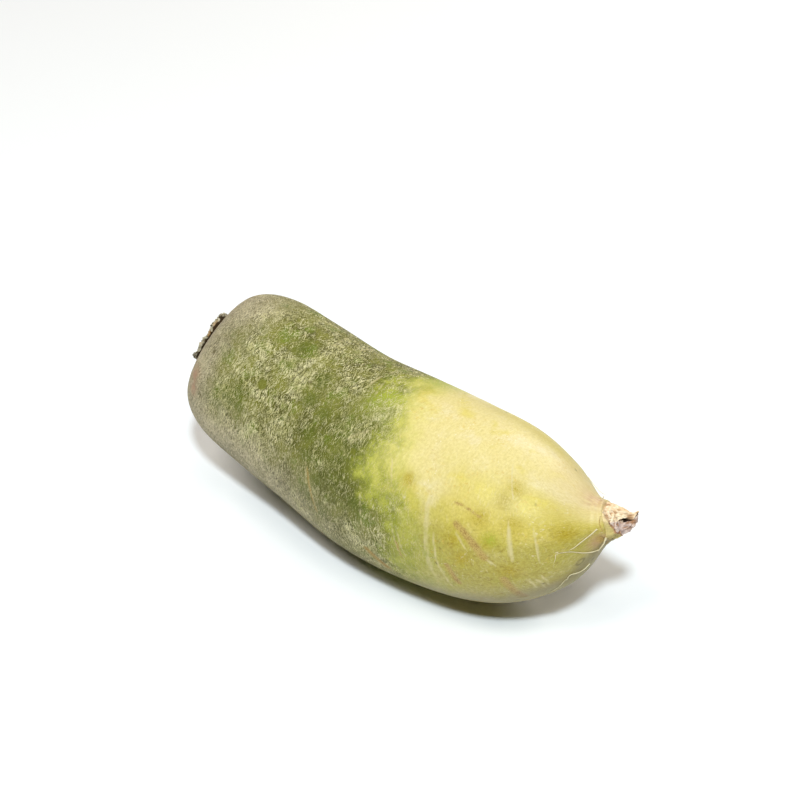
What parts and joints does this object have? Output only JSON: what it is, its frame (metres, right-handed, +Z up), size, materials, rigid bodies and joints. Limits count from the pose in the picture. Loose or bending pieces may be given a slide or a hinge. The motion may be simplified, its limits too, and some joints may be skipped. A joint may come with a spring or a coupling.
{
  "type": "daikon radish",
  "caption": "Whole green-shouldered daikon radish lying on its side, with trimmed leaf-stalk bases on the crown and a dried forked root tip.",
  "frame": {"origin": "on the surface the root lies on, under the middle of its bounding box", "axes": "+Z up, +X along the chord from the leafy crown end to the root tip, +Y to the left seen from the crown end"},
  "size_m": [0.2166, 0.0816, 0.0826],
  "materials": {
    "root_skin": "satin",
    "dry_leaf_stalk": "matte"
  },
  "bodies": {
    "root": {"radish_root": "root_skin", "leaf_stalk_stubs": "dry_leaf_stalk"}
  },
  "joints": []
}
